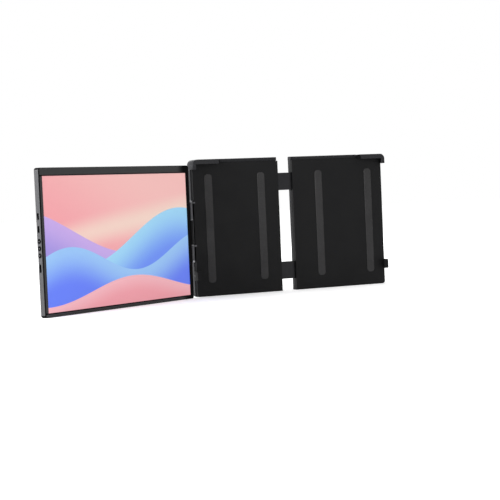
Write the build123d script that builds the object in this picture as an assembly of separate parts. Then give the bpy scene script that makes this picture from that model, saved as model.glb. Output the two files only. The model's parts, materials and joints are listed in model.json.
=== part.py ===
from build123d import *
import os

# A slim side screen hinged on an upright axis to a two-part bracket. Millimetres. While it is drawn, X runs
# along the bracket from the middle of what it grips, Y runs back from the front face of what it grips, and
# Z runs up from the surface that the object stands on. The finished nodes are moved so that the origin is
# under the middle of the whole object.

# Screen: lit area, borders and casing
lit_width = 286.5
lit_height = 176.7
free_border = 5.5
hinge_border = 6.6
top_border = 10.9
bottom_border = 5.8
screen_depth = 9.6
casing_wall = 1.5
casing_back = 1.4
casing_corner = 3.5
casing_edge = 1.6
bezel_depth = 1.0
bezel_step = 0.15
rim_wall = 0.9
rim_reach = 1.4
rim_corner = 1.8
seat_gap = 0.1
case_screw_count = 4
case_screw_inset = 12.0
case_boss_radius = 2.4
case_boss_height = 1.2

# Display stack, from the bezel backwards
display_depth = 0.8
display_lap = 1.2
guide_depth = 1.4
lamp_height = 1.1
tray_wall = 0.4
tray_gap = 0.15

# Boards, sockets and buttons at the screen's free side
board_back = 6.3
board_depth = 1.0
board_gap = 2.2
board_corner = 1.0
post_radius = 2.0
post_inset = 4.0
ports_depth_at = 5.3
usb_width = 8.94
usb_height = 3.2
usb_length = 7.3
hdmi_width = 10.6
hdmi_height = 3.2
hdmi_length = 7.5
socket_wall = 0.3
socket_floor = 1.2
socket_inset = 0.3
tongue_depth = 0.7
tongue_margin = 1.25
tongue_inset = 0.9
hdmi_z = 64.0
first_button_z = 80.5
button_spacing = 9.2
lower_usb_z = 114.3
usb_spacing = 16.7
button_radius = 1.9
button_proud = 0.4
button_travel = 0.4
button_depth_at = 5.3
button_round = 0.3
button_ring = 2.5
ring_groove = 0.2
flange_depth = 0.7
flange_half_width = 1.8
flange_half_height = 3.2
stem_radius = 1.0
stem_length = 0.6
switch_length = 3.0
switch_half_width = 1.4
switch_half_height = 2.2
port_board_width = 20.0
port_board_margin = 2.0
port_post_lap = 1.0
driver_board_width = 96.0
driver_board_height = 38.0
driver_board_x = -190.0
driver_board_z = 22.0
chip_gap = 0.3
chip_places = ((18.0, 14.0), (44.0, 9.0), (66.0, 12.0))
connector_x = 30.0
connector_width = 30.0
connector_height = 4.0
ribbon_depth = 0.25
ribbon_margin = 1.0
port_ribbon_width = 12.0
port_ribbon_drop = 14.0
port_riser_inset = 6.0
port_riser_width = 5.0

# Hinge between screen and bracket
open_angle = 28.8
axis_gap = 6.9
axis_y = -4.0
hinge_gap = 2.4
knuckle_radius = 2.0
pin_radius = 1.1
pin_clearance = 0.05
knuckle_z = 55.0
lower_knuckle_height = 22.0
middle_knuckle_room = 37.5
upper_knuckle_height = 25.3
washer_depth = 0.6
washer_clearance = 0.1
nut_height = 2.8
nut_proud = 0.15
nut_chamfer = 0.3
pin_head_height = 1.0
pin_head_inset = 0.5
arm_width = 3.0
arm_seat = 4.0
gusset_depth = 2.0
gusset_start = 0.8
foot_depth = 2.4
foot_margin = 3.0
foot_setback = 1.0
foot_rear_gap = 0.5
hinge_screw_count = 4
hinge_screw_inset = 4.0
anchor_depth = 5.0
anchor_margin = 2.0
anchor_gap = 0.4
leaf_depth = 1.8
leaf_back = 6.0
leaf_length = 25.0
leaf_margin = 15.0
leaf_web_depth = 2.6
leaf_boss_radius = 2.6
leaf_screw_inset = 6.0
leaf_screw_far = 4.0

# Bracket: what it grips, then its own outlines
grip_half_width = 156.6
grip_height = 196.9
grip_depth = 5.4
grip_clearance = 0.2
pad_depth = 0.6
cover_depth = 6.0
shell_depth = 8.0
shell_drop = 0.4
shell_side_step = -0.8
rail_height = 5.4
rail_lip = 1.8
rail_round = 1.5
left_inner_x = -19.3
right_inner_x = 4.5
shell_wall = 2.0
shell_back = 1.6
shell_corner = 4.0
cover_inset = 1.5
cover_front = 1.6
cover_gap = 0.3

# Hooks
hook_length = 41.3
lip_depth = 2.4
lip_drop = 2.2
hook_drop = 9.9
side_lip_width = 5.0
hook_side_wall = 2.0
hook_roof = 3.5
hook_corner = 7.5
hook_rear_wall = 0.6
liner_side = 1.0
liner_top = 1.1
liner_front = 0.8
liner_cap = 1.2
liner_cap_round = 0.5
liner_step = 0.3
side_hook_low = 24.4
side_hook_height = 13.9
side_hook_proud = 0.6
side_hook_lip = 6.3
side_hook_round = 1.5
outer_pad_x = -139.0
inner_pad_x = -54.0
pad_width = 12.0
pad_height = 160.0
pad_corner = 4.8
pad_z = 20.0
edge_round = 0.6

# Slide between the two halves
slide_end_gap = 0.7
slide_out = 45.0
bar_height = 26.0
bar_depth = 4.4
bar_corner = 2.0
bar_end = 7.0
lower_bar_z = 31.0
upper_bar_inset = 31.5
bar_reach = 44.8
slide_clearance = 0.15
shoe_length = 10.0
shoe_margin = 3.0
rib_width = 2.0
rib_inset = 6.0
stop_pin_inset = 36.0
stop_pin_radius = 2.0
brake_inset = 20.0
brake_length = 12.0
brake_gap = 0.3
brake_margin = 2.0
clamp_near = 10.8
clamp_inset = 8.0

# Rear support leg
stand_x = -97.0
stand_width = 102.0
stand_axis_z = 116.0
stand_radius = 2.8
stand_pin_radius = 1.0
stand_bottom = 6.0
stand_plate = 3.0
stand_gap = 0.6
stand_foot_height = 3.0
stand_foot_inset = 10.0
stand_bracket_width = 4.0
stand_bracket_margin = 5.0
stand_bracket_round = 2.0
stand_side_gap = 0.3
stand_corner = 8.0
finger_notch_z = 41.0
finger_notch_radius = 7.0

# Screws
screw_clearance = 0.03
screw_recess = 0.1
slot_depth_share = 0.6
slot_reach_share = 0.7
slot_width_share = 0.45
bite_end = 0.3
thread_room = 1.5
case_screw = (1.0, 1.9, 1.0)
frame_screw = (1.25, 2.3, 1.3)
top_screw_head = 2.0
top_screw_bite = 2.6
hook_screw_sunk = 0.9
boss_wall = 1.6
cover_boss_wall = 1.2
cover_screw_inset = 14.0
cover_screw_edge = 9.0
hook_screw_inset = 12.0
hook_screw_end = 8.0
rail_screw_inset = 12.0

# Sizes worked out from the ones above
screen_width = free_border + lit_width + hinge_border
screen_height = bottom_border + lit_height + top_border
screen_right = -hinge_gap
screen_left = screen_right - screen_width
lit_left = screen_left + free_border
lit_right = screen_right - hinge_border
lit_bottom = bottom_border
lit_top = screen_height - top_border
casing_inside = screen_depth - casing_back
wall_face = screen_left + casing_wall
display_back = bezel_depth + display_depth
guide_back = display_back + guide_depth
tray_back = guide_back + tray_wall
board_front = board_back - board_depth
board_left = wall_face + board_gap
button_z = [first_button_z + button_spacing * i for i in range(3)]
usb_z = (lower_usb_z, lower_usb_z + usb_spacing)
flange_face = wall_face + seat_gap + flange_depth
switch_front = flange_face + stem_length + button_travel + seat_gap / 2
lower_knuckle = (knuckle_z, knuckle_z + lower_knuckle_height)
upper_bottom = lower_knuckle[1] + middle_knuckle_room
upper_knuckle = (upper_bottom, upper_bottom + upper_knuckle_height)
front_y = grip_depth + pad_depth
split_y = front_y + cover_depth
rear_y = split_y + shell_depth
shell_inside_y = rear_y - shell_back
cover_inside_y = front_y + cover_front
slot_x = grip_half_width + liner_side
hook_side_x = slot_x + hook_side_wall
hook_end = -hook_side_x + hook_length
side_x = hook_side_x + shell_side_step
side_hook_x = side_x + side_hook_proud
axis_x = -(side_x + axis_gap)
shell_height = grip_height - shell_drop
slot_top = grip_height + liner_top
hook_top = slot_top + hook_roof
lip_bottom = grip_height - lip_drop
hook_bottom = grip_height - hook_drop
liner_face = grip_clearance
lip_back = liner_face - liner_front
hook_front = lip_back - lip_depth
side_hook_z = (side_hook_low, side_hook_low + side_hook_height)
right_edge = -right_inner_x
bar_z = (lower_bar_z, shell_height - upper_bar_inset)
bar_back = split_y + bar_depth / 2
bar_front = split_y - bar_depth / 2
bar_right = right_inner_x + bar_reach
clamp_x = (right_inner_x + clamp_near, bar_right - clamp_inset)
stop_pin_x = left_inner_x - stop_pin_inset
brake_x = left_inner_x - brake_inset
slot_reach = stop_pin_radius + slide_clearance
slide_in = right_inner_x - left_inner_x - slide_end_gap
slot_left = stop_pin_x - slide_out - slot_reach
slot_right = stop_pin_x + slide_in + slot_reach
bar_left = slot_left - bar_end
stand_y = (rear_y + stand_gap, rear_y + stand_gap + stand_plate)
stand_axis_y = rear_y + stand_gap + stand_radius
nodes = {}


def block(x, y, z):
    """Box between the low and high X, Y and Z."""
    (x0, x1), (y0, y1), (z0, z1) = x, y, z
    return Pos((x0 + x1) / 2, (y0 + y1) / 2, (z0 + z1) / 2) * Box(x1 - x0, y1 - y0, z1 - z0)


def slab(x, y, z, radius):
    """Upright plate between the low and high X, Y and Z, its corners rounded as seen from the front."""
    (x0, x1), (y0, y1), (z0, z1) = x, y, z
    outline = RectangleRounded(x1 - x0, z1 - z0, radius)
    return extrude(Plane.XZ.offset(-y1) * Pos((x0 + x1) / 2, (z0 + z1) / 2) * outline, y1 - y0)


def rod_x(y, z, x, radius):
    """Round bar along X between its low and high X."""
    return Pos((x[0] + x[1]) / 2, y, z) * Rot(0, 90, 0) * Cylinder(radius, x[1] - x[0])


def rod_y(x, z, y, radius):
    """Round bar along Y between its low and high Y."""
    return Pos(x, (y[0] + y[1]) / 2, z) * Rot(90, 0, 0) * Cylinder(radius, y[1] - y[0])


def rod_z(x, y, z, radius):
    """Round bar along Z between its low and high Z."""
    return Pos(x, y, (z[0] + z[1]) / 2) * Cylinder(radius, z[1] - z[0])


def joined(shapes):
    """All the shapes as one piece, or as separate solids of one node where they don't touch."""
    shapes = list(shapes)
    total = shapes[0]
    for shape in shapes[1:]:
        total += shape
    return total


def spread(middle, half):
    """Low and high end of a length about its middle."""
    return middle - half, middle + half


def screw_y(x, z, head_y, tip_y, size):
    """Flat-head screw along Y, its cross-slotted head at head_y and its tip at tip_y."""
    shank, head, sunk = size
    way = 1 if tip_y > head_y else -1
    neck = head_y + way * sunk
    body = rod_y(x, z, sorted((neck, tip_y)), shank) + rod_y(x, z, sorted((head_y, neck)), head)
    slot = sorted((head_y - way, head_y + way * sunk * slot_depth_share))
    reach = head * slot_reach_share
    half = shank * slot_width_share / 2
    body -= block(spread(x, reach), slot, spread(z, half))
    return body - block(spread(x, half), slot, spread(z, reach))


def screw_hole_y(x, z, head_y, tip_y, size):
    """Space that the screw of the same size fills, with its clearance."""
    shank, head, sunk = size
    way = 1 if tip_y > head_y else -1
    neck = head_y + way * (sunk + screw_recess + screw_clearance)
    return (rod_y(x, z, sorted((head_y, tip_y)), shank + screw_clearance)
            + rod_y(x, z, sorted((head_y, neck)), head + screw_clearance))


def round_edges(shape, radius, axis, keep):
    """Rounds the edges along an axis whose middle passes the test."""
    return fillet([e for e in shape.edges().filter_by(axis) if keep(e.center())], radius)


def place_screen(shape):
    """Turns a piece drawn flat behind the hinge axis to the angle at which the screen stands."""
    return Location((axis_x, axis_y, 0), (0, 0, open_angle)) * shape


def mirrored(shape):
    """The same piece on the bracket's other side."""
    return mirror(shape, Plane.YZ)


# The screen is drawn with the hinge axis on X 0, Y 0 and the display facing -Y, its free side at low X.

def side_face(x, z):
    """Plane square to X at a socket's middle, drawn on with the screen's depth and its height."""
    return Plane((x, ports_depth_at, z), x_dir=(0, 1, 0), z_dir=(1, 0, 0))


def socket_hole(z, width, height, round_ends):
    """Opening through the side wall with the rounded outline of a socket's shell."""
    radius = socket_radius(height, round_ends)
    outline = RectangleRounded(height + 2 * seat_gap, width + 2 * seat_gap, radius)
    face = side_face(screen_left - seat_gap, z)
    return extrude(face * outline, casing_wall + 3 * seat_gap)


def socket_radius(height, round_ends):
    """Corner radius of a socket's shell, which has half-round ends or small corners."""
    return height / 2 - 2 * seat_gap if round_ends else height * 0.3


def case_screw_places():
    """X and Z of the screws that hold the bezel to the casing, along the top border."""
    z = screen_height - top_border / 2
    first = screen_left + case_screw_inset
    step = (screen_width - 2 * case_screw_inset) / (case_screw_count - 1)
    return [(first + step * i, z) for i in range(case_screw_count)]


def leaf_screw_places():
    """X and Z of the screws that hold the hinge leaf in the casing."""
    low, high = leaf_span()
    near = screen_right - casing_wall - leaf_screw_inset
    far = screen_right - casing_wall - leaf_length + leaf_screw_far
    return [(x, z) for x in (near, far) for z in (low + leaf_screw_inset, high - leaf_screw_inset)]


def board_posts():
    """X and Z of the posts that the two boards stand on."""
    ports_x = board_left + port_board_width - post_inset
    low = hdmi_z - hdmi_width / 2 + port_post_lap
    high = usb_z[1] + usb_width / 2 - port_post_lap
    right = driver_board_x + driver_board_width - post_inset
    top = driver_board_z + driver_board_height - post_inset
    left = driver_board_x + post_inset
    bottom = driver_board_z + post_inset
    return [(ports_x, low), (ports_x, high), (left, bottom), (left, top), (right, bottom), (right, top)]


def middle_knuckle():
    """Low and high Z of the screen's knuckle, between the two washers."""
    step = washer_depth + 2 * washer_clearance
    return lower_knuckle[1] + step, upper_knuckle[0] - step


def leaf_span():
    """Low and high Z of the hinge leaf inside the casing."""
    low, high = middle_knuckle()
    return low - leaf_margin, high + leaf_margin


def make_casing():
    outer = slab((screen_left, screen_right), (bezel_depth, screen_depth), (0, screen_height), casing_corner)
    rear = [e for e in outer.edges() if abs(e.center().Y - screen_depth) < 1e-3]
    outer = fillet(rear, casing_edge)
    inner_x = (wall_face, screen_right - casing_wall)
    inner_z = (casing_wall, screen_height - casing_wall)
    shell = outer - slab(inner_x, (0, casing_inside), inner_z, casing_corner - casing_wall)
    low, high = middle_knuckle()
    slot_y = (leaf_back - leaf_depth - leaf_web_depth - seat_gap, leaf_back + seat_gap)
    shell -= block(spread(screen_right, casing_wall + 1), slot_y, (low - seat_gap, high + seat_gap))
    for x, z in board_posts():
        shell += rod_y(x, z, (board_back, casing_inside), post_radius)
    for x, z in leaf_screw_places():
        shell += rod_y(x, z, (leaf_back, casing_inside), leaf_boss_radius)
        shell -= screw_hole_y(x, z, screen_depth, bezel_depth, case_screw)
    for x, z in case_screw_places():
        shell += rod_y(x, z, (casing_inside - case_boss_height, casing_inside), case_boss_radius)
        shell -= screw_hole_y(x, z, screen_depth, bezel_depth, case_screw)
    for z in usb_z:
        shell -= socket_hole(z, usb_width, usb_height, True)
    shell -= socket_hole(hdmi_z, hdmi_width, hdmi_height, False)
    for z in button_z:
        shell -= rod_x(button_depth_at, z, (screen_left - 1, wall_face + 1), button_radius + seat_gap)
        shell -= rod_x(button_depth_at, z, (screen_left - 1, screen_left + ring_groove), button_ring)
    return shell


def make_rim(inset, radius):
    """Block behind the bezel, set in from the screen's outline, that its rim is cut from."""
    x = (screen_left + inset, screen_right - inset)
    return slab(x, (bezel_depth, bezel_depth + rim_reach), (inset, screen_height - inset), radius)


def make_bezel():
    x = (screen_left + bezel_step, screen_right - bezel_step)
    z = (bezel_step, screen_height - bezel_step)
    ring = slab(x, (0, bezel_depth), z, casing_corner - bezel_step)
    front = [e for e in ring.edges() if abs(e.center().Y) < 1e-3]
    ring = chamfer(front, bezel_step)
    ring += make_rim(casing_wall + seat_gap, rim_corner)
    ring -= make_rim(casing_wall + seat_gap + rim_wall, rim_corner - rim_wall)
    for x, z in case_screw_places():
        ring += rod_y(x, z, (bezel_depth, casing_inside - case_boss_height - seat_gap), case_boss_radius)
        ring -= rod_y(x, z, (bezel_depth, casing_inside), case_screw[0] + screw_clearance)
    return ring - block((lit_left, lit_right), (-1, bezel_depth + 1), (lit_bottom, lit_top))


def tray_box(grow):
    """X and Z ranges of the display stack, grown all round."""
    lap = display_lap + grow
    return (lit_left - lap, lit_right + lap), (lit_bottom - lap, lit_top + lap)


def make_display_stack():
    x, z = tray_box(0)
    nodes["display_panel"] = place_screen(block(x, (bezel_depth, display_back), z))
    lamp_top = z[0] + lamp_height
    guide_z = (lamp_top + tray_gap, z[1])
    nodes["backlight_plate"] = place_screen(block(x, (display_back, guide_back), guide_z))
    nodes["backlight_led_bar"] = place_screen(block(x, (display_back, guide_back), (z[0], lamp_top)))
    outer_x, outer_z = tray_box(tray_gap + tray_wall)
    inner_x, inner_z = tray_box(tray_gap)
    tray = block(outer_x, (bezel_depth, tray_back), outer_z) - block(inner_x, (0, guide_back), inner_z)
    nodes["panel_frame"] = place_screen(tray)


def make_driver_board():
    x = (driver_board_x, driver_board_x + driver_board_width)
    z = (driver_board_z, driver_board_z + driver_board_height)
    board = slab(x, (board_front, board_back), z, board_corner)
    chip_y = (tray_back + chip_gap, board_front)
    middle = (z[0] + z[1]) / 2
    for offset, chip in chip_places:
        left = x[0] + offset
        board += block((left, left + chip), chip_y, spread(middle, chip / 2))
    connector = (x[0] + connector_x, x[0] + connector_x + connector_width)
    board += block(connector, chip_y, (z[0], z[0] + connector_height))
    nodes["driver_board"] = place_screen(board)
    ribbon_x = (connector[0] + ribbon_margin, connector[1] - ribbon_margin)
    ribbon_z = (bottom_border + ribbon_margin, z[0] + connector_height - ribbon_margin)
    nodes["panel_ribbon"] = place_screen(block(ribbon_x, (tray_back, tray_back + ribbon_depth), ribbon_z))
    flat = (board_back, board_back + ribbon_depth)
    run_z = (z[1] - port_ribbon_drop - port_ribbon_width, z[1] - port_ribbon_drop)
    start = board_left + port_riser_inset
    run = block((start, x[0] + post_inset - ribbon_margin), flat, run_z)
    run += block((start, start + port_riser_width), flat, (run_z[0], hdmi_z + post_inset))
    nodes["port_ribbon"] = place_screen(run)


def make_socket(z, width, height, length, round_ends):
    """Metal shell of a socket with its tongue, its mouth just inside the casing's side."""
    mouth = screen_left + socket_inset
    radius = socket_radius(height, round_ends)
    outer = extrude(side_face(mouth, z) * RectangleRounded(height, width, radius), length)
    inner = RectangleRounded(height - 2 * socket_wall, width - 2 * socket_wall, radius - socket_wall)
    shell = outer - extrude(side_face(mouth, z) * inner, length - socket_floor)
    tongue_x = (mouth + tongue_inset, mouth + length - socket_floor / 2)
    half = width / 2 - tongue_margin
    return shell + block(tongue_x, spread(ports_depth_at, tongue_depth / 2), spread(z, half))


def make_port_board():
    x = (board_left, board_left + port_board_width)
    low = hdmi_z - hdmi_width / 2 - port_board_margin
    high = usb_z[1] + usb_width / 2 + port_board_margin
    board = slab(x, (board_front, board_back), (low, high), board_corner)
    through = (board_front - 1, board_back + 1)
    for z in usb_z:
        inside = (screen_left, screen_left + socket_inset + usb_length + seat_gap)
        board -= block(inside, through, spread(z, usb_width / 2 + seat_gap))
    inside = (screen_left, screen_left + socket_inset + hdmi_length + seat_gap)
    board -= block(inside, through, spread(hdmi_z, hdmi_width / 2 + seat_gap))
    switches = []
    switch_x = (switch_front, switch_front + switch_length)
    switch_y = spread(ports_depth_at, switch_half_width)
    for z in button_z:
        switches.append(block(switch_x, switch_y, spread(z, switch_half_height)))
        notch = (board_left - 1, switch_x[1] + seat_gap)
        board -= block(notch, through, spread(z, switch_half_height + seat_gap))
    nodes["port_board"] = place_screen(board)
    nodes["button_switches"] = place_screen(joined(switches))


def make_button(z):
    """Round cap with the flange that keeps it in the casing and the stem that presses its switch."""
    cap = rod_x(button_depth_at, z, (screen_left - button_proud, wall_face + seat_gap), button_radius)
    rim = [e for e in cap.edges() if abs(e.center().X - screen_left + button_proud) < 1e-3]
    cap = fillet(rim, button_round)
    flange_y = spread(button_depth_at, flange_half_width)
    cap += block((wall_face + seat_gap, flange_face), flange_y, spread(z, flange_half_height))
    return cap + rod_x(button_depth_at, z, (flange_face, flange_face + stem_length), stem_radius)


def make_monitor_leaf():
    low, high = middle_knuckle()
    leaf_front = leaf_back - leaf_depth
    web_front = leaf_front - leaf_web_depth
    knuckle = rod_z(0, 0, (low, high), knuckle_radius)
    wall_x = screen_right - casing_wall
    web = Polyline((wall_x, leaf_back), (screen_right, leaf_back), (0, knuckle_radius),
                   (-knuckle_radius, 0), (screen_right, web_front), (wall_x, web_front), close=True)
    shape = knuckle + extrude(Plane.XY.offset(low) * make_face(web), high - low)
    shape += block((wall_x - leaf_length, wall_x), (leaf_front, leaf_back), leaf_span())
    shape -= rod_z(0, 0, (low - 1, high + 1), pin_radius + pin_clearance)
    screws = []
    for x, z in leaf_screw_places():
        shape -= rod_y(x, z, (leaf_front - 1, leaf_back + 1), case_screw[0] + screw_clearance)
        screws.append(screw_y(x, z, screen_depth - screw_recess, leaf_front + seat_gap, case_screw))
    nodes["monitor_hinge_leaf"] = place_screen(shape)
    nodes["monitor_hinge_screws"] = place_screen(joined(screws))


def make_case_screws():
    tip = bezel_depth + thread_room
    return joined(screw_y(x, z, screen_depth - screw_recess, tip, case_screw) for x, z in case_screw_places())


def make_screen():
    nodes["monitor_rear_shell"] = place_screen(make_casing())
    nodes["monitor_front_bezel"] = place_screen(make_bezel())
    make_display_stack()
    make_driver_board()
    make_port_board()
    for name, z in zip(("lower_usb_c_socket", "upper_usb_c_socket"), usb_z):
        nodes[name] = place_screen(make_socket(z, usb_width, usb_height, usb_length, True))
    nodes["mini_hdmi_socket"] = place_screen(make_socket(hdmi_z, hdmi_width, hdmi_height, hdmi_length, False))
    for name, z in zip(("input_button", "menu_button", "power_button"), button_z):
        nodes[name] = place_screen(make_button(z))
    make_monitor_leaf()
    nodes["monitor_case_screws"] = place_screen(make_case_screws())


# The hinge's bracket side

def hinge_screw_y():
    """Y of the screws through the hinge's foot, in the rear shell's outer wall."""
    return (split_y + rear_y) / 2


def hinge_screw_z():
    """Heights of the screws through the hinge's foot."""
    low = lower_knuckle[0] + hinge_screw_inset
    high = upper_knuckle[1] - hinge_screw_inset
    return [low + (high - low) * i / (hinge_screw_count - 1) for i in range(hinge_screw_count)]


def make_frame_leaf():
    foot_x = (-side_x - foot_depth, -side_x)
    foot_front = front_y + foot_setback
    seat_y = foot_front + arm_seat
    foot_z = (lower_knuckle[0] - foot_margin, upper_knuckle[1] + foot_margin)
    shape = block(foot_x, (foot_front, rear_y - foot_rear_gap), foot_z)
    half = arm_width / 2
    gusset_y = axis_y + gusset_start
    arm = Polyline((axis_x - half, axis_y), (axis_x + half, axis_y), (-side_x, foot_front),
                   (-side_x, seat_y), (foot_x[0], seat_y), (foot_x[0], foot_front), close=True)
    gusset = Polyline((axis_x, gusset_y), (-side_x, gusset_y),
                      (-side_x, seat_y), (foot_x[0], seat_y), close=True)
    for low, high in (lower_knuckle, upper_knuckle):
        shape += extrude(Plane.XY.offset(low) * make_face(arm), high - low)
        shape += extrude(Plane.XY.offset(high - gusset_depth) * make_face(gusset), gusset_depth)
        shape += rod_z(axis_x, axis_y, (low, high), knuckle_radius)
    shape -= rod_z(axis_x, axis_y, (lower_knuckle[0] - 1, upper_knuckle[1] + 1), pin_radius + screw_clearance)
    shank, head, sunk = frame_screw
    sink_x = (foot_x[0] - 1, foot_x[0] + sunk + 2 * screw_clearance)
    for z in hinge_screw_z():
        shape -= rod_x(hinge_screw_y(), z, (foot_x[0] - 1, foot_x[1] + 1), shank + screw_clearance)
        shape -= rod_x(hinge_screw_y(), z, sink_x, head + screw_clearance)
    return shape


def make_hinge_screw(z):
    """Screw through the hinge's foot and the shell's wall into the anchor plate."""
    shank, head, sunk = frame_screw
    y = hinge_screw_y()
    outside = -side_x - foot_depth + screw_clearance
    neck = outside + sunk
    tip = -side_x + shell_wall + anchor_depth - bite_end
    screw = rod_x(y, z, (outside, neck), head) + rod_x(y, z, (neck, tip), shank)
    slot = (outside - 1, outside + sunk * slot_depth_share)
    reach = head * slot_reach_share
    half = shank * slot_width_share / 2
    screw -= block(slot, spread(y, reach), spread(z, half))
    return screw - block(slot, spread(y, half), spread(z, reach))


def make_hinge():
    nodes["frame_hinge_leaf"] = make_frame_leaf()
    bottom = lower_knuckle[0] - nut_height
    top = upper_knuckle[1]
    pin = rod_z(axis_x, axis_y, (bottom, top), pin_radius)
    pin += rod_z(axis_x, axis_y, (top, top + pin_head_height), knuckle_radius - pin_head_inset)
    nodes["hinge_pin"] = pin
    nut = rod_z(axis_x, axis_y, (bottom, lower_knuckle[0]), knuckle_radius + nut_proud)
    nut = chamfer(nut.edges().filter_by(GeomType.CIRCLE), nut_chamfer)
    nut -= rod_z(axis_x, axis_y, (bottom - 1, lower_knuckle[0] + 1), pin_radius + screw_clearance)
    nodes["hinge_end_nut"] = nut
    washers = []
    for low in (lower_knuckle[1] + washer_clearance, upper_knuckle[0] - washer_clearance - washer_depth):
        washer = rod_z(axis_x, axis_y, (low, low + washer_depth), knuckle_radius)
        bore = rod_z(axis_x, axis_y, (low - 1, low + washer_depth + 1), pin_radius + pin_clearance)
        washers.append(washer - bore)
    nodes["hinge_washers"] = joined(washers)
    anchor_x = (-side_x + shell_wall, -side_x + shell_wall + anchor_depth)
    anchor_z = (lower_knuckle[0] - anchor_margin, upper_knuckle[1] + anchor_margin)
    anchor = block(anchor_x, (split_y + anchor_gap, shell_inside_y), anchor_z)
    for z in hinge_screw_z():
        anchor -= rod_x(hinge_screw_y(), z, (-side_x, anchor_x[1] + 1), frame_screw[0] + screw_clearance)
    nodes["hinge_anchor_plate"] = anchor
    nodes["frame_hinge_screws"] = joined(make_hinge_screw(z) for z in hinge_screw_z())


# The bracket's halves are drawn as its left one, from -side_x to an inner end, and mirrored for the right.

def cover_screw_places(inner_x):
    """X and Z of the screws that join a rear shell and its front cover."""
    heights = (cover_screw_edge, (bar_z[0] + bar_z[1]) / 2, shell_height - cover_screw_edge)
    return [(x, z) for x in (-side_x + cover_screw_inset, inner_x - cover_screw_inset) for z in heights]


def top_screw_y():
    """Y of the screws in the shell's top wall."""
    return (split_y + shell_inside_y) / 2


def hook_screws_x():
    """X of the two screws that hold the corner hook on the shell's top wall."""
    return -hook_side_x + hook_screw_inset, hook_end - hook_screw_end


def rail_screws_x(inner_x):
    """X of the two screws that hold the rail on the shell's top wall."""
    return hook_end + rail_screw_inset, inner_x - rail_screw_inset


def hooked_outline(low_x, inner_x, low_z, high_z):
    """Front outline of a half, stepped in at the top outer corner for the hook's side wall."""
    step = slot_x - hook_rear_wall - 2 * seat_gap
    outline = Pos((low_x + inner_x) / 2, (low_z + high_z) / 2) * Rectangle(inner_x - low_x, high_z - low_z)
    cut = hook_length
    outline -= Pos(-step - cut / 2, hook_bottom - 2 * seat_gap + cut / 2) * Rectangle(cut, cut)
    corner = [v for v in outline.vertices() if v.X < low_x + 0.01 and v.Y < low_z + 0.01]
    return fillet(corner, shell_corner)


def tray(outline, y, open_y, wall):
    """Open box with the outline seen from the front: y is its depth range and open_y that of its hollow."""
    body = extrude(Plane.XZ.offset(-y[1]) * outline, y[1] - y[0])
    hollow = offset(outline, amount=-wall, kind=Kind.INTERSECTION)
    return body - extrude(Plane.XZ.offset(-open_y[1]) * hollow, open_y[1] - open_y[0])


def bar_mouths(inner_x, margin):
    """Passages of the two slide bars through a half's inner end wall."""
    x = (inner_x - shell_wall - 1, inner_x + 1)
    y = (cover_inside_y, shell_inside_y)
    return joined(block(x, y, spread(z, bar_height / 2 + margin)) for z in bar_z)


def bar_ribs(inner_x):
    """Ribs in the left rear shell above and below each slide bar."""
    x = (-side_x + shell_wall + rib_inset, inner_x - shoe_length - rib_width / 2)
    lean = bar_height / 2 + slide_clearance + rib_width / 2
    middles = [z + side * lean for z in bar_z for side in (-1, 1)]
    return joined(block(x, (split_y, shell_inside_y), spread(z, rib_width / 2)) for z in middles)


def make_rear_shell(inner_x, margin):
    outline = hooked_outline(-side_x, inner_x, 0, shell_height)
    shell = tray(outline, (split_y, rear_y), (split_y - 1, shell_inside_y), shell_wall)
    shell = round_edges(shell, edge_round, Axis.Z, lambda c: c.Y > rear_y - 0.01)
    shell -= bar_mouths(inner_x, margin)
    for x, z in cover_screw_places(inner_x):
        shell += rod_y(x, z, (split_y, shell_inside_y), frame_screw[1] + boss_wall)
        shell -= screw_hole_y(x, z, rear_y, split_y - 1, frame_screw)
    wall_z = (shell_height - shell_wall - 1, shell_height + 1)
    for x in hook_screws_x() + rail_screws_x(inner_x):
        shell -= rod_z(x, top_screw_y(), wall_z, frame_screw[0] + screw_clearance)
    return shell


def make_front_cover(inner_x, margin):
    outline = hooked_outline(-side_x + cover_inset, inner_x, cover_gap, shell_height - cover_gap)
    cover = tray(outline, (front_y, split_y), (cover_inside_y, split_y + 1), shell_wall)
    cover -= bar_mouths(inner_x, margin)
    for x, z in cover_screw_places(inner_x):
        cover += rod_y(x, z, (cover_inside_y, split_y), frame_screw[1] + cover_boss_wall)
        cover -= rod_y(x, z, (cover_inside_y, split_y + 1), frame_screw[0] + screw_clearance)
    y, z = hook_screw_place()
    wall_x = (-side_x, -side_x + cover_inset + shell_wall + 1)
    return cover - rod_x(y, z, wall_x, frame_screw[0] + screw_clearance)


def make_rail(inner_x):
    z = (shell_height, shell_height + rail_height)
    rail = block((hook_end + liner_cap, inner_x), (split_y - rail_lip, rear_y), z)
    rail = round_edges(rail, rail_round, Axis.X, lambda c: c.Z > shell_height + 1)
    depth = (shell_height - 1, shell_height + top_screw_bite + thread_room)
    for x in rail_screws_x(inner_x):
        rail -= rod_z(x, top_screw_y(), depth, frame_screw[0] + screw_clearance)
    return rail


def hook_block(x, y, z, radius):
    """Block with its top outer edge rounded, from the hook's side to its free end."""
    shape = block(x, y, z)
    return round_edges(shape, radius, Axis.Y, lambda c: c.X < x[0] + 0.01 and c.Z > z[1] - 0.01)


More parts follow.
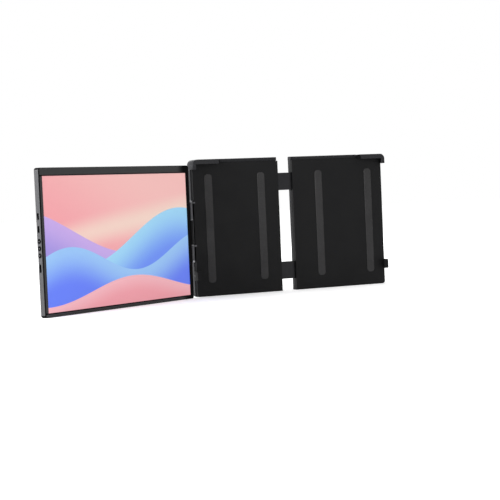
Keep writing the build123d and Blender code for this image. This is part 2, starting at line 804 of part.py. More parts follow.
def make_corner_hook():
    hook = hook_block((-hook_side_x, hook_end), (hook_front, rear_y), (hook_bottom, hook_top), hook_corner)
    under = (hook_bottom - 1, slot_top)
    hook -= hook_block((-slot_x, hook_end + 1), (lip_back, front_y), under, hook_corner - hook_roof)
    behind = (-slot_x + hook_rear_wall, hook_end + 1)
    hook -= block(behind, (front_y - 0.01, rear_y + 1), (hook_bottom - 1, shell_height))
    lip_x = (-hook_side_x + side_lip_width, hook_end + 1)
    hook -= block(lip_x, (hook_front - 1, lip_back), (hook_bottom - 1, lip_bottom))
    depth = (shell_height - 1, shell_height + top_screw_bite + bite_end)
    for x in hook_screws_x():
        hook -= rod_z(x, top_screw_y(), depth, frame_screw[0] + screw_clearance)
    return hook


def make_corner_liner():
    """Rubber lining of the corner hook, with the cap that closes the hook's free end."""
    z = (hook_bottom + liner_step, slot_top)
    liner = hook_block((-slot_x, hook_end), (lip_back, front_y), z, hook_corner - hook_roof)
    grip_z = (hook_bottom - 1, grip_height)
    liner -= block((-grip_half_width, hook_end + 1), (liner_face, front_y + 1), grip_z)
    lip_x = (-hook_side_x + side_lip_width, hook_end + 1)
    liner -= block(lip_x, (lip_back - 1, liner_face), (hook_bottom - 1, lip_bottom + liner_step))
    cap_end = hook_end + liner_cap
    cap = block((hook_end, cap_end), (hook_front, rear_y), (lip_bottom, hook_top))
    cap -= block((hook_end - 1, cap_end + 1), (liner_face, rear_y + 1), grip_z)
    return liner + round_edges(cap, liner_cap_round, Axis.X, lambda c: c.Z > hook_top - 0.01)


def hook_screw_place():
    """Y and Z of the screw that holds a side hook."""
    return (front_y + split_y) / 2, (side_hook_z[0] + side_hook_z[1]) / 2


def make_side_hook():
    hook = block((-side_hook_x, -side_hook_x + side_hook_lip), (hook_front, split_y - seat_gap), side_hook_z)
    inner = -side_x + cover_inset
    hook -= block((inner, 0), (lip_back, split_y + 1), (0, shell_height))
    hook = round_edges(hook, side_hook_round, Axis.Y, lambda c: c.X < -side_hook_x + 0.01)
    y, z = hook_screw_place()
    hook -= rod_x(y, z, (-side_hook_x - 1, inner + 1), frame_screw[0] + screw_clearance)
    sink_x = (-side_hook_x - 1, -side_hook_x + screw_recess + hook_screw_sunk)
    return hook - rod_x(y, z, sink_x, frame_screw[1])


def make_side_liner():
    z = (side_hook_z[0] + liner_step, side_hook_z[1] - liner_step)
    x = (-side_x + cover_inset, -side_hook_x + side_hook_lip - liner_step)
    liner = block(x, (lip_back, front_y - seat_gap), z)
    return liner - block((-grip_half_width, 0), (liner_face, front_y), (0, shell_height))


def make_side_hook_screw():
    y, z = hook_screw_place()
    start = -side_hook_x + screw_recess
    neck = start + hook_screw_sunk
    inside = -side_x + cover_inset + shell_wall - bite_end
    return rod_x(y, z, (start, neck), frame_screw[1] - seat_gap) + rod_x(y, z, (neck, inside), frame_screw[0])


def make_pads():
    y = (grip_depth, front_y)
    z = (pad_z, pad_z + pad_height)
    return joined(slab((x, x + pad_width), y, z, pad_corner) for x in (outer_pad_x, inner_pad_x))


def make_cover_screws(inner_x):
    tip = cover_inside_y + bite_end
    head_y = rear_y - screw_recess
    return joined(screw_y(x, z, head_y, tip, frame_screw) for x, z in cover_screw_places(inner_x))


def make_top_screws(inner_x):
    shank, head, sunk = frame_screw
    under = shell_height - shell_wall
    y = top_screw_y()
    places = hook_screws_x() + rail_screws_x(inner_x)
    shanks = joined(rod_z(x, y, (under, shell_height + top_screw_bite), shank) for x in places)
    return shanks + joined(rod_z(x, y, (under - sunk, under), top_screw_head) for x in places)


def make_bar(z):
    """Slide bar with the slot that its stop pin runs in and its two screw holes."""
    bar = slab((bar_left, bar_right), (bar_front, bar_back), spread(z, bar_height / 2), bar_corner)
    through = (bar_front - 1, bar_back + 1)
    bar -= slab((slot_left, slot_right), through, spread(z, slot_reach), slot_reach - 0.01)
    for x in clamp_x:
        bar -= screw_hole_y(x, z, bar_front, bar_back + 1, frame_screw)
    return bar


def make_shoe(z):
    """Bush in the left half's inner end that a slide bar runs in."""
    x = (left_inner_x - shoe_length, left_inner_x)
    shoe = block(x, (cover_inside_y, shell_inside_y), spread(z, bar_height / 2 + shoe_margin - seat_gap))
    hole_y = (bar_front - slide_clearance, bar_back + slide_clearance)
    return shoe - block((x[0] - 1, x[1] + 1), hole_y, spread(z, bar_height / 2 + slide_clearance))


def make_slide():
    nodes["lower_slide_bar"], nodes["upper_slide_bar"] = [make_bar(z) for z in bar_z]
    nodes["slide_shoes"] = joined(make_shoe(z) for z in bar_z)
    pin_y = (cover_inside_y, shell_inside_y)
    nodes["slide_stop_pins"] = joined(rod_y(stop_pin_x, z, pin_y, stop_pin_radius) for z in bar_z)
    brake_y = (bar_back + brake_gap, shell_inside_y)
    spot = spread(brake_x, brake_length / 2)
    reach = bar_height / 2 - brake_margin
    nodes["slide_brake_pads"] = joined(slab(spot, brake_y, spread(z, reach), board_corner) for z in bar_z)
    places = [(x, z) for z in bar_z for x in clamp_x]
    head_y = bar_front + screw_recess
    tip_y = shell_inside_y - bite_end
    nodes["slide_bar_screws"] = joined(screw_y(x, z, head_y, tip_y, frame_screw) for x, z in places)


def make_clamp_bosses(shell):
    """Bosses in the right rear shell that the slide bars are screwed to."""
    for x, z in [(x, z) for z in bar_z for x in clamp_x]:
        shell += rod_y(x, z, (bar_back, shell_inside_y), frame_screw[1] + boss_wall)
        shell -= rod_y(x, z, (bar_back - 1, shell_inside_y), frame_screw[0] + screw_clearance)
    return shell


def make_stand_leg(x):
    """Plate with square top corners, rounded feet and a notch for a finger, hung on its round eye."""
    through = (stand_y[0] - 1, stand_y[1] + 1)
    leg = slab(x, stand_y, (stand_bottom, stand_axis_z + stand_corner), stand_corner)
    leg -= block((x[0] - 1, x[1] + 1), through, (stand_axis_z, stand_axis_z + stand_corner + 1))
    leg += rod_x(stand_axis_y, stand_axis_z, x, stand_radius)
    leg -= rod_x(stand_axis_y, stand_axis_z, (x[0] - 1, x[1] + 1), stand_pin_radius + pin_clearance)
    return leg - rod_y(x[1], finger_notch_z, through, finger_notch_radius)


def make_stand():
    x = spread(stand_x, stand_width / 2)
    nodes["kickstand_leg"] = make_stand_leg(x)
    foot_x = (x[0] + stand_foot_inset, x[1] - stand_foot_inset)
    nodes["kickstand_foot"] = block(foot_x, stand_y, (stand_bottom - stand_foot_height, stand_bottom))
    brackets = []
    for side in (-1, 1):
        near = stand_x + side * (stand_width / 2 + stand_side_gap)
        span = sorted((near, near + side * stand_bracket_width))
        height = spread(stand_axis_z, stand_bracket_margin)
        bracket = block(span, (rear_y, stand_axis_y + stand_radius), height)
        brackets.append(round_edges(bracket, stand_bracket_round, Axis.X, lambda c: c.Y > stand_axis_y))
    reach = stand_width / 2 + stand_side_gap + stand_bracket_width
    bore = rod_x(stand_axis_y, stand_axis_z, spread(stand_x, reach + 1), stand_pin_radius + screw_clearance)
    nodes["stand_brackets"] = joined(brackets) - bore
    nodes["stand_pin"] = rod_x(stand_axis_y, stand_axis_z, spread(stand_x, reach), stand_pin_radius)


def make_half(side, inner_x, margin, turn):
    """Casing, rail, hooks and screws of one half of the bracket."""
    shell = make_rear_shell(inner_x, margin)
    if side == "left":
        shell += bar_ribs(inner_x)
        for z in hinge_screw_z():
            hole = (-side_x - 1, -side_x + shell_wall + 1)
            shell -= rod_x(hinge_screw_y(), z, hole, frame_screw[0] + screw_clearance)
    shell = turn(shell)
    if side == "right":
        shell = make_clamp_bosses(shell)
    nodes[side + "_rear_shell"] = shell
    nodes[side + "_front_cover"] = turn(make_front_cover(inner_x, margin))
    nodes[side + "_top_rail"] = turn(make_rail(inner_x))
    nodes[side + "_corner_hook"] = turn(make_corner_hook())
    nodes[side + "_corner_liner"] = turn(make_corner_liner())
    nodes[side + "_side_hook"] = turn(make_side_hook())
    nodes[side + "_side_liner"] = turn(make_side_liner())
    nodes[side + "_hook_screw"] = turn(make_side_hook_screw())
    nodes[side + "_grip_pads"] = turn(make_pads())
    nodes[side + "_cover_screws"] = turn(make_cover_screws(inner_x))
    nodes[side + "_top_screws"] = turn(make_top_screws(inner_x))


def main():
    make_screen()
    make_hinge()
    make_half("left", left_inner_x, shoe_margin, lambda shape: shape)
    make_half("right", right_edge, slide_clearance, mirrored)
    make_slide()
    make_stand()
    boxes = [shape.bounding_box() for shape in nodes.values()]
    middle_x = (min(b.min.X for b in boxes) + max(b.max.X for b in boxes)) / 2
    middle_y = (min(b.min.Y for b in boxes) + max(b.max.Y for b in boxes)) / 2
    os.makedirs("parts", exist_ok=True)
    for name, shape in nodes.items():
        export_step(Pos(-middle_x, -middle_y, 0) * shape, os.path.join("parts", name + ".step"))
    print("origin moved by", round(-middle_x, 4), round(-middle_y, 4), "nodes", len(nodes))


main()
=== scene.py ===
import json
import math
import bmesh
import bpy
from mathutils import Matrix, Vector


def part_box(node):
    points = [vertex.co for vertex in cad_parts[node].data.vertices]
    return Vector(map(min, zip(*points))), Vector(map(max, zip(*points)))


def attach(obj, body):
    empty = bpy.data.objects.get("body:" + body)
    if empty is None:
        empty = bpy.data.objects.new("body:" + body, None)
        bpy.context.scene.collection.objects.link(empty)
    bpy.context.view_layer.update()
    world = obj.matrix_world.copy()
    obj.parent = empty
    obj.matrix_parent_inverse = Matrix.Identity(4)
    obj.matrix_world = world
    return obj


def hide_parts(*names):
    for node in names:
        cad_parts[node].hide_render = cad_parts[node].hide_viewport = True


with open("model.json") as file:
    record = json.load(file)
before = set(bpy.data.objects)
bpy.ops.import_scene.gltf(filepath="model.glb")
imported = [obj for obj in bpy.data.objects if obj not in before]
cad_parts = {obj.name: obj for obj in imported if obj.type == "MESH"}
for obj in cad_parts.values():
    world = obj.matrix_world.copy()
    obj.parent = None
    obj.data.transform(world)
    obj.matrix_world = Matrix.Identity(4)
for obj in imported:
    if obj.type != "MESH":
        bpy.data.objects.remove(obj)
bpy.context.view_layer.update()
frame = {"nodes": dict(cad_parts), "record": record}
MM = 0.001

# The camera stands at the photograph's viewing angle
CAMERA_PLACE = Vector((-756.04, -1785.27, 146.9)) * MM
CAMERA_RIGHT = Vector((0.9124, -0.4070, -0.0438))
CAMERA_UP = Vector((0.0564, 0.0192, 0.9982))
FOCAL_SHARE = 1361.25 / 500
SENSOR = 36.0
CLIP_NEAR = 0.05
CLIP_FAR = 50

# Name, place, size and power of each lamp, in metres and watts
LAMPS = (
    ("key", (-2.2, -0.4, 0.9), 1.2, 102.0),
    ("fill", (0.3, -2.4, 1.0), 1.4, 6.0),
    ("rear", (0.6, 1.9, 1.5), 1.6, 27.0),
)
LAMP_TARGET = Vector((0, 0, 0.1))
WORLD_LIGHT = 0.38
WORLD_SEEN = 1.0

# The floor's glow grows from the near distance to the far one
FLOOR_HALF = 9.0
FLOOR_NEAR, FLOOR_FAR = 0.5, 2.0
GLOW_NEAR, GLOW_FAR = 0.45, 0.8

# The screen stands at this angle, turned about the hinge
OPEN_ANGLE = math.radians(28.8)
SCREEN_WAY = Vector((math.cos(OPEN_ANGLE), math.sin(OPEN_ANGLE), 0))
SCREEN_IN = Vector((-math.sin(OPEN_ANGLE), math.cos(OPEN_ANGLE), 0))
AXIS = (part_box("hinge_pin")[0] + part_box("hinge_pin")[1]) / 2

# Sizes on the screen, in mm, its places measured from the hinge axis and the ground
SCREEN_LEFT = -301.0
SCREEN_HEIGHT = 193.4
LIT_WIDTH = 286.5
LIT_HEIGHT = 176.7
LIT_LEFT = SCREEN_LEFT + 5.5
LIT_BOTTOM = 5.8
PORT_DEPTH = 5.3
BUTTON_HEIGHTS = (80.5, 89.7, 98.9)

# Black places on the screen and places of painted shade: where each one begins and where it is full, in mm
CASING_TOP = (SCREEN_HEIGHT - 2.8, SCREEN_HEIGHT - 2.5)
CASING_BOTTOM = (3.3, 3.0)
CASING_FRONT = (1.3, 1.1)
CASING_SIDE = (SCREEN_LEFT + 3.0, SCREEN_LEFT + 2.0)
# Painted shade: a dark ring on the casing around each button, standing in for the shade in its gap
BUTTON_RING_SHADE = (3.4, 3.2)
BUTTON_RIM = (0.75, 0.9)
# The socket's inside: the tongue's own black plastic, and painted shade on the metal walls
SOCKET_INSIDE = (SCREEN_LEFT + 0.1, SCREEN_LEFT + 0.4)
BEZEL_FREE_EDGE = (SCREEN_LEFT + 1.4, SCREEN_LEFT + 1.2)
BEZEL_SIDES = (0.15, 0.25)
# Painted shade: the bezel darkens towards the hinge, standing in for the bracket's dark reflection on it
BEZEL_HINGE_SHADE = (-30.0, -14.0)
BEZEL_LINE = (1.0, 0.8)

# How far outside the picture the lines lie, a distance beyond any button, and the look of the black and of
# the painted shade
BEZEL_LINE_OFFSET = 0.4
FAR_AWAY = 100.0
BLACK_AND_SHADE = (6, 6, 7)
BLACK_AND_SHADE_SPECULAR = 0.03

# Clouds and grain of every finish
CLOUD_SCALE = 26.0
CLOUD_DETAIL = 5.0
GRAIN_DETAIL = 3.0
CLOUD_SHARE, GRAIN_SHARE = 0.6, 0.4
NOISE_LOW, NOISE_HIGH = 0.3, 0.7

# The display's light and the softness of its design's edges
DISPLAY_GLOW = 0.56
DISPLAY_DARKENING = 0.55
GLOW_BAND = 0.16
GLOW_SHARE = 0.7
WAVE_SOFTNESS = 0.0015

# Widths of the rounded edges, in mm
EDGE = {"casing_grey": 0.25, "frame_grey": 0.35, "lit_hook_grey": 0.35, "shaded_shell_grey": 0.35, "cover_black": 0.4,
        "liner_rubber": 0.3, "rubber_black_and_shade": 0.3}
OTHER_EDGE = 0.12
CONTACT_EDGE = 0.02
EDGE_ANGLE = math.radians(40)

# Points nearer to each other than these are joined
WELD_DISTANCE = 0.002 * MM
JOIN_DISTANCE = 0.000001

# Metal contacts on a socket's tongue, in mm
TONGUE_HALF = 0.35
CONTACT_SUNK = 0.05
CONTACT_PROUD = 0.04
SOCKET_MOUTH = SCREEN_LEFT + 0.3
CONTACT_REACH = (SOCKET_MOUTH + 2.2, SOCKET_MOUTH + 4.4)

# Name, height, count, pitch and width of each socket's contacts, in mm
CONTACT_ROWS = (
    ("lower_usb_contacts", 114.3, 12, 0.5, 0.25),
    ("upper_usb_contacts", 131.0, 12, 0.5, 0.25),
    ("mini_hdmi_contacts", 64.0, 10, 0.8, 0.35),
)

# Ribbed rubber pads
PAD_WIDTH = 12.0 * MM
PAD_CORNER = 4.8 * MM
PAD_PLAIN_END = PAD_CORNER * 0.6
PAD_ROWS = 640
PAD_COLUMNS = 10
PAD_FLAT_SHARE, PAD_ROUND_SHARE = 0.8, 0.2
PAD_EDGE_DROP = 0.12 * MM
RIB_PITCH = 2.5 * MM
RIB_DEPTH = 0.18 * MM

# Nodes with another tone than their slot's, painted light and shade: lighter copies of the frame's grey on
# the hinge barrels and hooks, a darker copy on the rear shells, and the corner liners' black rubber darkened
# further into painted shade
OTHER_FINISH = {
    "frame_hinge_leaf": "lit_barrel_grey",
    "left_corner_hook": "lit_hook_grey",
    "right_corner_hook": "lit_hook_grey",
    # Corner liners: black rubber, darkened further as painted shade in the hooks' slots
    "left_corner_liner": "rubber_black_and_shade",
    "right_corner_liner": "rubber_black_and_shade",
    "left_rear_shell": "shaded_shell_grey",
    "right_rear_shell": "shaded_shell_grey",
}


def srgb(*values):
    """Linear colour of an sRGB one given from 0 to 255."""
    out = []
    for v in values:
        v /= 255
        out.append(v / 12.92 if v <= 0.04045 else ((v + 0.055) / 1.055) ** 2.4)
    return (*out, 1.0)


class Nodes:
    """A material's node tree with short calls to add and join nodes."""

    def __init__(self, name):
        self.material = bpy.data.materials.new(name)
        self.material.use_nodes = True
        self.tree = self.material.node_tree
        self.shader = self.tree.nodes["Principled BSDF"]

    def add(self, kind, **values):
        node = self.tree.nodes.new(kind)
        for key, value in values.items():
            setattr(node, key, value)
        return node

    def feed(self, socket, value):
        if isinstance(value, bpy.types.NodeSocket):
            self.tree.links.new(value, socket)
        else:
            socket.default_value = value

    def math(self, operation, *values):
        node = self.add("ShaderNodeMath", operation=operation)
        for socket, value in zip(node.inputs, values):
            self.feed(socket, value)
        return node.outputs[0]

    def most(self, first, *others):
        for other in others:
            first = self.math("MAXIMUM", first, other)
        return first

    def mix(self, factor, a, b):
        node = self.add("ShaderNodeMix", data_type="RGBA")
        self.feed(node.inputs["Factor"], factor)
        self.feed(node.inputs[6], a)
        self.feed(node.inputs[7], b)
        return node.outputs[2]

    def remap(self, value, low, high, to_low=0.0, to_high=1.0, smooth=False):
        node = self.add("ShaderNodeMapRange")
        node.interpolation_type = "SMOOTHSTEP" if smooth else "LINEAR"
        for socket, item in zip(node.inputs, (value, low, high, to_low, to_high)):
            self.feed(socket, item)
        return node.outputs[0]

    def place(self):
        return self.add("ShaderNodeTexCoord").outputs["Object"]

    def noise(self, scale, detail, stretch=(1, 1, 1)):
        mapping = self.add("ShaderNodeMapping")
        self.feed(mapping.inputs["Vector"], self.place())
        mapping.inputs["Scale"].default_value = stretch
        node = self.add("ShaderNodeTexNoise")
        self.feed(node.inputs["Vector"], mapping.outputs[0])
        node.inputs["Scale"].default_value = scale
        node.inputs["Detail"].default_value = detail
        return node.outputs["Fac"]

    def bump(self, height, distance):
        node = self.add("ShaderNodeBump")
        node.inputs["Strength"].default_value = 1.0
        node.inputs["Distance"].default_value = distance
        self.feed(node.inputs["Height"], height)
        self.feed(self.shader.inputs["Normal"], node.outputs[0])

    def set(self, **values):
        for key, value in values.items():
            self.feed(self.shader.inputs[key.replace("_", " ")], value)


def screen_place(n):
    """A point's place in the screen's own mm: along it from the hinge axis, into its depth, and up."""
    place = n.add("ShaderNodeVectorMath", operation="SUBTRACT")
    n.feed(place.inputs[0], n.place())
    place.inputs[1].default_value = (AXIS.x, AXIS.y, 0)
    out = []
    for way in (SCREEN_WAY, SCREEN_IN, Vector((0, 0, 1))):
        part = n.add("ShaderNodeVectorMath", operation="DOT_PRODUCT")
        n.feed(part.inputs[0], place.outputs[0])
        part.inputs[1].default_value = way / MM
        out.append(part.outputs["Value"])
    return out


def button_distance(n, depth, up):
    """Distance in mm from the middle line of the nearest button."""
    aside = n.math("POWER", n.math("SUBTRACT", depth, PORT_DEPTH), 2.0)
    nearest = FAR_AWAY
    for height in BUTTON_HEIGHTS:
        rise = n.math("POWER", n.math("SUBTRACT", up, height), 2.0)
        nearest = n.math("MINIMUM", n.math("SQRT", n.math("ADD", aside, rise)), nearest)
    return nearest


def casing_black_and_shade(n):
    """Black front edge, top and bottom of the casing, and painted shade in a ring around each button, where
    its gap is.
    """
    along, depth, up = screen_place(n)
    ring_shade = n.remap(button_distance(n, depth, up), *BUTTON_RING_SHADE)
    return n.most(
        n.remap(up, *CASING_TOP),
        n.remap(up, *CASING_BOTTOM),
        n.remap(depth, *CASING_FRONT),
        n.math("MULTIPLY", ring_shade, n.remap(along, *CASING_SIDE)),
    )


def button_black(n):
    """Black outer part of each button, which leaves a pale dot in the middle."""
    depth, up = screen_place(n)[1:]
    return n.remap(button_distance(n, depth, up), *BUTTON_RIM)


def socket_black_and_shade(n):
    """Black inside of a socket behind the edge of its mouth: its tongue's own black plastic, and painted
    shade on the metal inside.
    """
    return n.remap(screen_place(n)[0], *SOCKET_INSIDE)


def bezel_black_and_shade(n):
    """Black sides and free edge of the bezel, black lines above and below the picture, and painted shade
    darkening its hinge end for the bracket's dark reflection.
    """
    along, depth, up = screen_place(n)
    rise = n.math("ABSOLUTE", n.math("SUBTRACT", up, LIT_BOTTOM + LIT_HEIGHT / 2))
    line = n.math("ABSOLUTE", n.math("SUBTRACT", rise, LIT_HEIGHT / 2 + BEZEL_LINE_OFFSET))
    return n.most(
        n.remap(along, *BEZEL_FREE_EDGE),
        n.remap(depth, *BEZEL_SIDES),
        # Painted shade of the bracket's dark reflection near the hinge
        n.remap(along, *BEZEL_HINGE_SHADE, smooth=True),
        n.remap(line, *BEZEL_LINE),
    )


FINISHES = {
    "casing_grey": dict(colour=(56, 56, 58), metallic=0.2, change=0.1, rough_change=0.04, specular=0.35,
                        black=casing_black_and_shade),
    "frame_grey": dict(colour=(42, 42, 44), metallic=0.15, change=0.1, specular=0.08),
    # Painted light: a lighter copy of the frame's grey for the hooks' lit sides
    "lit_hook_grey": dict(colour=(47, 47, 49), metallic=0.15, change=0.1, specular=0.05),
    # Painted shade: a darker copy of the frame's grey for the rear shells' side edge in shade
    "shaded_shell_grey": dict(colour=(38, 38, 40), metallic=0.15, change=0.08, rough_change=0.04, specular=0.12),
    "bezel_grey": dict(colour=(46, 46, 47), grain=2600.0, specular=0.26, black=bezel_black_and_shade),
    "cover_black": dict(colour=(13, 13, 14), roughness=0.6, grain=2200.0, grain_depth=0.00002, specular=0.15),
    "hinge_black": dict(colour=(10, 10, 11), roughness=0.55, specular=0.15),
    # Painted light: a lighter copy of the frame's grey for the lit hinge barrels and their highlights
    "lit_barrel_grey": dict(colour=(70, 70, 73), roughness=0.42, metallic=0.3, stretch=(1, 1, 8)),
    "liner_rubber": dict(colour=(22, 21, 22), roughness=0.72, grain=1500.0, grain_depth=0.00002),
    # Black rubber darkened beyond the other liners, painted shade in the hooks' slots
    "rubber_black_and_shade": dict(colour=(7, 7, 8), roughness=0.75, grain=1500.0, grain_depth=0.00002, specular=0.06),
    "button_grey": dict(colour=(58, 58, 60), roughness=0.45, black=button_black),
    # The socket's steel is darkened far below plain steel, painted shade for the dark inside of the port
    "socket_steel": dict(colour=(50, 50, 52), roughness=0.32, metallic=1.0, stretch=(1, 1, 8),
                         black=socket_black_and_shade),
    "steel": dict(colour=(150, 150, 153), roughness=0.3, metallic=1.0, stretch=(1, 1, 12)),
    "pressed_steel": dict(colour=(160, 160, 165), roughness=0.4, metallic=1.0),
    "screw_black": dict(colour=(34, 34, 35), roughness=0.38, metallic=0.8),
    "bar_black": dict(colour=(30, 30, 32), roughness=0.36, metallic=0.7, stretch=(0.05, 1, 1)),
    "shoe_plastic": dict(colour=(40, 40, 41), roughness=0.4),
    "circuit_board": dict(colour=(20, 88, 52), roughness=0.35, coat=0.3),
    "flat_cable": dict(colour=(214, 160, 72), roughness=0.4),
    "switch_black": dict(colour=(26, 26, 26)),
    "acrylic_clear": dict(colour=(225, 228, 232), roughness=0.2),
    "lamp_white": dict(colour=(240, 240, 232), roughness=0.4),
    "contact_gold": dict(colour=(212, 170, 90), roughness=0.28, metallic=1.0),
}


def surface(name, colour, roughness=0.5, metallic=0.0, grain=1800.0, grain_depth=0.00001, change=0.18,
            rough_change=0.08, stretch=(1, 1, 1), specular=0.5, coat=0.0, black=None):
    """Finish with a fine grain, cloudy changes of colour and roughness, and black places, some of them
    painted shade, if it has any.
    """
    n = Nodes(name)
    clouds = n.noise(CLOUD_SCALE, CLOUD_DETAIL)
    fine = n.noise(grain, GRAIN_DETAIL, stretch)
    plain = srgb(*colour)[:3]
    dark = tuple(c * (1 - change) for c in plain) + (1.0,)
    light = tuple(c * (1 + change) for c in plain) + (1.0,)
    shade = n.math("ADD", n.math("MULTIPLY", clouds, CLOUD_SHARE), n.math("MULTIPLY", fine, GRAIN_SHARE))
    base = n.mix(n.remap(shade, NOISE_LOW, NOISE_HIGH), dark, light)
    if black:
        share = black(n)
        base = n.mix(share, base, srgb(*BLACK_AND_SHADE))
        specular = n.remap(share, 0.0, 1.0, specular, BLACK_AND_SHADE_SPECULAR)
    rough = n.remap(clouds, NOISE_LOW, NOISE_HIGH, roughness - rough_change, roughness + rough_change)
    n.set(Base_Color=base, Roughness=rough, Metallic=metallic)
    n.set(Specular_IOR_Level=specular, Coat_Weight=coat)
    n.bump(fine, grain_depth)
    return n.material


def display_material():
    """Lit display with a generic design of layered waves in pinks, violet and blues."""
    n = Nodes("display_picture")
    place = screen_place(n)
    u = n.math("DIVIDE", n.math("SUBTRACT", place[0], LIT_LEFT), LIT_WIDTH)
    v = n.math("DIVIDE", n.math("SUBTRACT", place[2], LIT_BOTTOM), LIT_HEIGHT)

    def wave(rise, lean, size, pace, shift):
        """How far a point lies below a wavy line."""
        swing = n.math("SINE", n.math("MULTIPLY_ADD", u, pace, shift))
        edge = n.math("MULTIPLY_ADD", swing, size, n.math("MULTIPLY_ADD", u, lean, rise))
        return n.math("SUBTRACT", edge, v)

    sky = n.mix(n.remap(n.math("ADD", u, v), 0.5, 1.7, smooth=True), srgb(252, 166, 174), srgb(254, 198, 194))
    band = n.math("ABSOLUTE", wave(0.42, 0.34, 0.05, 3.0, 1.2))
    glow = n.remap(band, 0.0, GLOW_BAND, 1.0, 0.0, smooth=True)
    picture = n.mix(n.math("MULTIPLY", glow, GLOW_SHARE), sky, srgb(253, 232, 214))
    layers = (
        ((0.60, -0.10, 0.15, 4.4, 2.3), srgb(205, 175, 240), srgb(166, 150, 231), 0.30),
        ((0.46, 0.10, 0.17, 4.9, 3.4), srgb(165, 222, 255), srgb(112, 150, 255), 0.34),
        ((0.34, 0.06, 0.12, 6.6, 0.6), srgb(159, 205, 255), srgb(104, 132, 255), 0.30),
        ((0.12, 0.02, 0.08, 5.6, 4.6), srgb(255, 190, 198), srgb(252, 168, 178), 0.14),
    )
    for values, rim, deep, reach in layers:
        below = wave(*values)
        shade = n.mix(n.remap(below, 0.0, reach, smooth=True), rim, deep)
        picture = n.mix(n.remap(below, -WAVE_SOFTNESS, WAVE_SOFTNESS), picture, shade)
    n.set(Base_Color=n.mix(DISPLAY_DARKENING, picture, (0, 0, 0, 1)), Emission_Color=picture)
    n.set(Emission_Strength=DISPLAY_GLOW, Roughness=0.16, Specular_IOR_Level=0.2)
    return n.material


def add_camera():
    """Camera at the place and angle that the photograph was taken from."""
    data = bpy.data.cameras.new("camera")
    data.sensor_width = SENSOR
    data.lens = SENSOR * FOCAL_SHARE
    data.clip_start = CLIP_NEAR
    data.clip_end = CLIP_FAR
    camera = bpy.data.objects.new("camera", data)
    bpy.context.scene.collection.objects.link(camera)
    back = CAMERA_RIGHT.cross(CAMERA_UP)
    turn = Matrix((CAMERA_RIGHT, CAMERA_UP, back)).transposed().to_4x4()
    camera.matrix_world = Matrix.Translation(CAMERA_PLACE) @ turn
    bpy.context.scene.camera = camera


def add_lamps():
    """Large soft lamps turned to the middle of the part."""
    for name, place, size, power in LAMPS:
        lamp = bpy.data.lights.new(name, "AREA")
        lamp.size = size
        lamp.energy = power
        obj = bpy.data.objects.new(name, lamp)
        obj.location = place
        obj.rotation_euler = (LAMP_TARGET - Vector(place)).to_track_quat("-Z", "Y").to_euler()
        bpy.context.scene.collection.objects.link(obj)


def add_world():
    """World that is white where it is seen, mirrored or seen through, and dimmer as a light."""
    world = bpy.data.worlds.new("studio")
    bpy.context.scene.world = world
    world.use_nodes = True
    tree = world.node_tree
    ground = tree.nodes["Background"]
    ground.inputs["Color"].default_value = (1, 1, 1, 1)
    path = tree.nodes.new("ShaderNodeLightPath")
    seen = path.outputs["Is Camera Ray"]
    for ray in ("Is Transmission Ray", "Is Glossy Ray"):
        either = tree.nodes.new("ShaderNodeMath")
        either.operation = "MAXIMUM"
        tree.links.new(seen, either.inputs[0])
        tree.links.new(path.outputs[ray], either.inputs[1])
        seen = either.outputs[0]
    strength = tree.nodes.new("ShaderNodeMapRange")
    strength.inputs["To Min"].default_value = WORLD_LIGHT
    strength.inputs["To Max"].default_value = WORLD_SEEN
    tree.links.new(seen, strength.inputs[0])
    tree.links.new(strength.outputs[0], ground.inputs["Strength"])


def add_floor():
    """Pale floor that shows white to the camera where nothing shades it."""
    mesh = bpy.data.meshes.new("floor")
    corners = [(x * FLOOR_HALF, y * FLOOR_HALF, 0) for x, y in ((-1, -1), (1, -1), (1, 1), (-1, 1))]
    mesh.from_pydata(corners, [], [(0, 1, 2, 3)])
    obj = bpy.data.objects.new("floor", mesh)
    bpy.context.scene.collection.objects.link(obj)
    n = Nodes("floor_white")
    path = n.add("ShaderNodeLightPath")
    rays = n.most(path.outputs["Is Camera Ray"], path.outputs["Is Glossy Ray"])
    reach = n.add("ShaderNodeVectorMath", operation="LENGTH")
    n.feed(reach.inputs[0], n.place())
    glow = n.remap(reach.outputs["Value"], FLOOR_NEAR, FLOOR_FAR, GLOW_NEAR, GLOW_FAR, smooth=True)
    n.set(Base_Color=(0.9, 0.9, 0.9, 1), Roughness=0.6, Specular_IOR_Level=0.0)
    n.set(Emission_Color=(1, 1, 1, 1), Emission_Strength=n.math("MULTIPLY", rays, glow))
    mesh.materials.append(n.material)


def dress_cad(materials):
    """Gives each CAD node its finish and softens its edges."""
    finish = {item["node"]: item["material_slot"] for item in frame["record"]["subparts"]}
    finish.update(OTHER_FINISH)
    for name, obj in frame["nodes"].items():
        obj.data.materials.clear()
        obj.data.materials.append(materials[finish[name]])
        weld = obj.modifiers.new("weld", "WELD")
        weld.merge_threshold = WELD_DISTANCE
        soften(obj, EDGE.get(finish[name], OTHER_EDGE) * MM)


def on_screen(x, y, z):
    """Point given in mm from the hinge axis: along the screen, into its depth, and up."""
    return Vector((AXIS.x, AXIS.y, 0)) + (SCREEN_WAY * x + SCREEN_IN * y) * MM + Vector((0, 0, z * MM))


def add_piece(name, points, faces, material, body, replaces=(), smooth=True):
    """New mesh piece from points in metres, closed and with its faces turned outwards."""
    mesh = bpy.data.meshes.new(name)
    mesh.from_pydata([tuple(p) for p in points], [], faces)
    shape = bmesh.new()
    shape.from_mesh(mesh)
    bmesh.ops.remove_doubles(shape, verts=shape.verts, dist=JOIN_DISTANCE)
    bmesh.ops.recalc_face_normals(shape, faces=shape.faces)
    for face in shape.faces:
        face.smooth = smooth
    shape.to_mesh(mesh)
    shape.free()
    mesh.materials.append(material)
    obj = bpy.data.objects.new(name, mesh)
    bpy.context.scene.collection.objects.link(obj)
    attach(obj, body)
    if replaces:
        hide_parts(*replaces)
    return obj


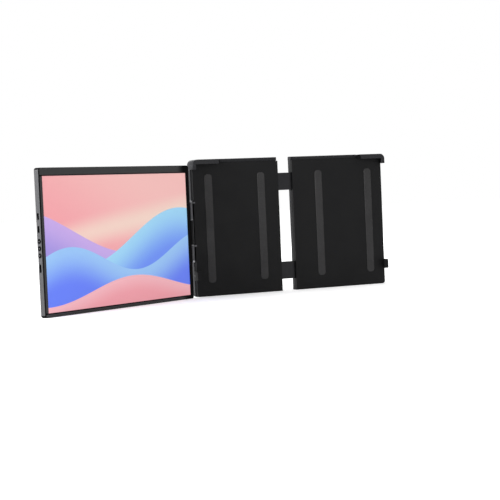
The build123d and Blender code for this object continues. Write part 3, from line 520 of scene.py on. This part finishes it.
def soften(obj, width, segments=2):
    """Rounds a piece's hard edges."""
    edge = obj.modifiers.new("edge", "BEVEL")
    edge.width = width
    edge.segments = segments
    edge.limit_method = "ANGLE"
    edge.angle_limit = EDGE_ANGLE
    edge.use_clamp_overlap = True
    edge.harden_normals = True


BOX_FACES = ((0, 1, 3, 2), (4, 6, 7, 5), (0, 4, 5, 1), (2, 3, 7, 6), (0, 2, 6, 4), (1, 5, 7, 3))


def screen_boxes(boxes):
    """Points and faces of boxes given by their low and high corners in the screen's own mm."""
    points, faces = [], []
    for (x0, x1), (y0, y1), (z0, z1) in boxes:
        first = len(points)
        points += [on_screen(x, y, z) for x in (x0, x1) for y in (y0, y1) for z in (z0, z1)]
        faces += [tuple(first + i for i in face) for face in BOX_FACES]
    return points, faces


def socket_contacts(name, z, count, pitch, width, material):
    """Row of contacts on both faces of a socket's tongue."""
    boxes = []
    for i in range(count):
        middle = z + (i - (count - 1) / 2) * pitch
        for side in (-1, 1):
            inner = PORT_DEPTH + side * (TONGUE_HALF - CONTACT_SUNK)
            outer = PORT_DEPTH + side * (TONGUE_HALF + CONTACT_PROUD)
            boxes.append((CONTACT_REACH, sorted((inner, outer)), (middle - width / 2, middle + width / 2)))
    points, faces = screen_boxes(boxes)
    piece = add_piece(name, points, faces, material, "monitor", smooth=False)
    soften(piece, CONTACT_EDGE * MM, 1)


def pad_section(middle, z, low, high):
    """Points of a pad at one height: its ribbed front from left to right, then its two back corners."""
    end = min(z - low.z, high.z - z)
    half = PAD_WIDTH / 2
    if end < PAD_CORNER:
        half += math.sqrt(max(0.0, PAD_CORNER ** 2 - (PAD_CORNER - end) ** 2)) - PAD_CORNER
    rib = 0.5 - 0.5 * math.cos(2 * math.pi * (z - low.z) / RIB_PITCH)
    if end < PAD_PLAIN_END:
        rib = 0.0
    points = []
    for j in range(PAD_COLUMNS + 1):
        t = 2 * j / PAD_COLUMNS - 1
        edge = max(0.0, abs(t) - PAD_FLAT_SHARE) / PAD_ROUND_SHARE
        y = low.y + RIB_DEPTH * rib * (1 - edge) + PAD_EDGE_DROP * edge ** 2
        points.append((middle + half * t, y, z))
    return points + [(middle - half, high.y, z), (middle + half, high.y, z)]


def ribbed_pads(name, node, body, material):
    """Two upright rubber pads with rounded ends and cross ribs, in place of a node's plain ones."""
    low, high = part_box(node)
    points, faces = [], []
    right, back_left, back_right = PAD_COLUMNS, PAD_COLUMNS + 1, PAD_COLUMNS + 2
    wide = PAD_COLUMNS + 3
    for left in (low.x, high.x - PAD_WIDTH):
        first = len(points)
        for i in range(PAD_ROWS + 1):
            z = low.z + (high.z - low.z) * i / PAD_ROWS
            points += pad_section(left + PAD_WIDTH / 2, z, low, high)
        for i in range(PAD_ROWS):
            a, b = first + i * wide, first + (i + 1) * wide
            for j in range(PAD_COLUMNS):
                faces.append((a + j, a + j + 1, b + j + 1, b + j))
            faces.append((a, b, b + back_left, a + back_left))
            faces.append((a + right, a + back_right, b + back_right, b + right))
            faces.append((a + back_left, b + back_left, b + back_right, a + back_right))
        for a in (first, first + PAD_ROWS * wide):
            faces.append(tuple(a + j for j in range(PAD_COLUMNS + 1)) + (a + back_right, a + back_left))
    add_piece(name, points, faces, material, body, replaces=(node,))


bpy.context.scene.view_settings.view_transform = "Standard"
add_camera()
add_lamps()
add_world()
add_floor()
materials = {name: surface(name, **values) for name, values in FINISHES.items()}
materials["display_glass"] = display_material()
dress_cad(materials)
for row in CONTACT_ROWS:
    socket_contacts(*row, materials["contact_gold"])
ribbed_pads("left_ribbed_pads", "left_grip_pads", "left_frame", materials["liner_rubber"])
ribbed_pads("right_ribbed_pads", "right_grip_pads", "right_frame", materials["liner_rubber"])
